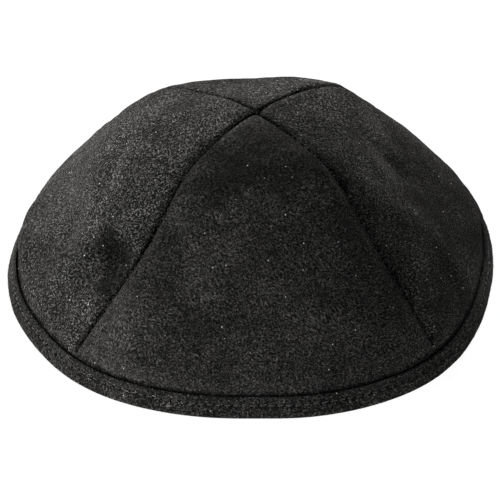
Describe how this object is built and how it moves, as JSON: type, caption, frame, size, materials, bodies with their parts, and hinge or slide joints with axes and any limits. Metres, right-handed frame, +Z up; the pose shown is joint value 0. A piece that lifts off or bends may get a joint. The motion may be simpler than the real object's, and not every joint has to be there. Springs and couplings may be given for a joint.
{
  "type": "kippah skullcap",
  "caption": "Domed kippah skullcap of sewn gore panels in black faux suede, with a folded band round its open rim.",
  "frame": {"origin": "the middle of the rim, on the plane that the cap rests on", "axes": "+Z up through the crown, -Y towards the front panel, +X towards the right panel as the picture shows it"},
  "size_m": [0.1708, 0.1695, 0.0653],
  "materials": {
    "panel_suede": "matt black faux suede with a short brushed nap",
    "band_suede": "matt black faux suede, folded and topstitched in black thread"
  },
  "bodies": {
    "root": {"panel_front": "panel_suede", "panel_right": "panel_suede", "panel_back": "panel_suede", "panel_left": "panel_suede", "rim_band": "band_suede"}
  },
  "joints": []
}
